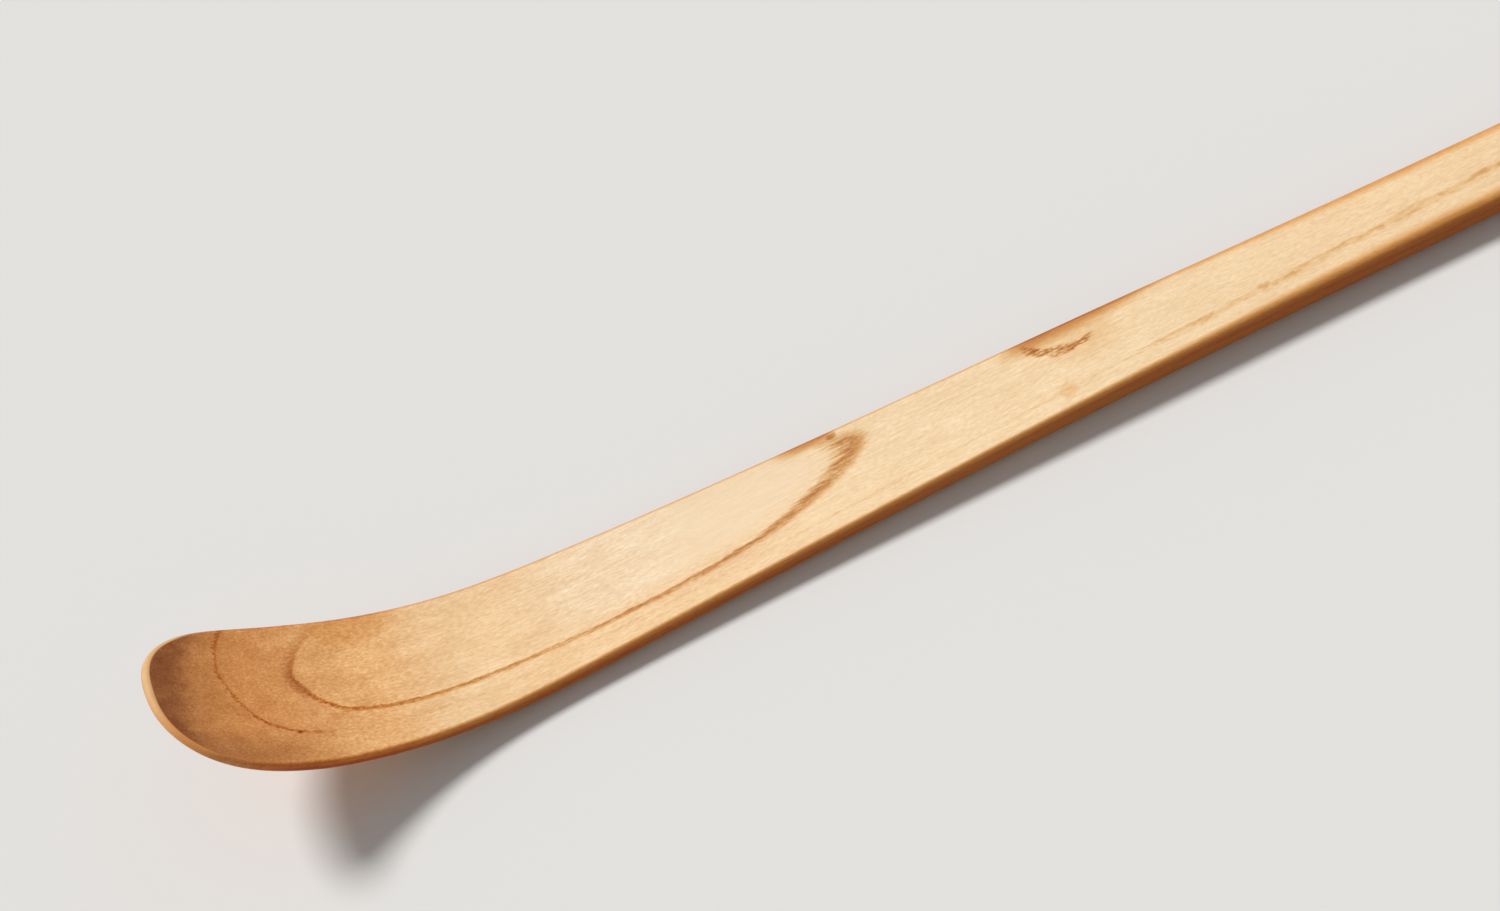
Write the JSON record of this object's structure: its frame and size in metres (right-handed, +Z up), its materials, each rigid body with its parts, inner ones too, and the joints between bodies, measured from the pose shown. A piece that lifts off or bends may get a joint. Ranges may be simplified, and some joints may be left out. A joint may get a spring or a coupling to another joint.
{
  "type": "tea scoop",
  "caption": "Slim carved wooden tea scoop: a long tapering handle and a broad, shallow bowl that curls up to a round tip, for lifting powdered tea out of a caddy.",
  "frame": {"origin": "under the middle of the scoop's length and width, on the surface that its back lies on", "axes": "+X along the handle to the butt, so the tip is at -X, +Y across the handle, +Z up out of the hollow"},
  "size_m": [0.182, 0.011, 0.0135],
  "materials": {
    "wood": "bare wood, pale honey with fine growth rings, rubbed to a satin polish"
  },
  "bodies": {
    "root": {"scoop": "wood"}
  },
  "joints": []
}
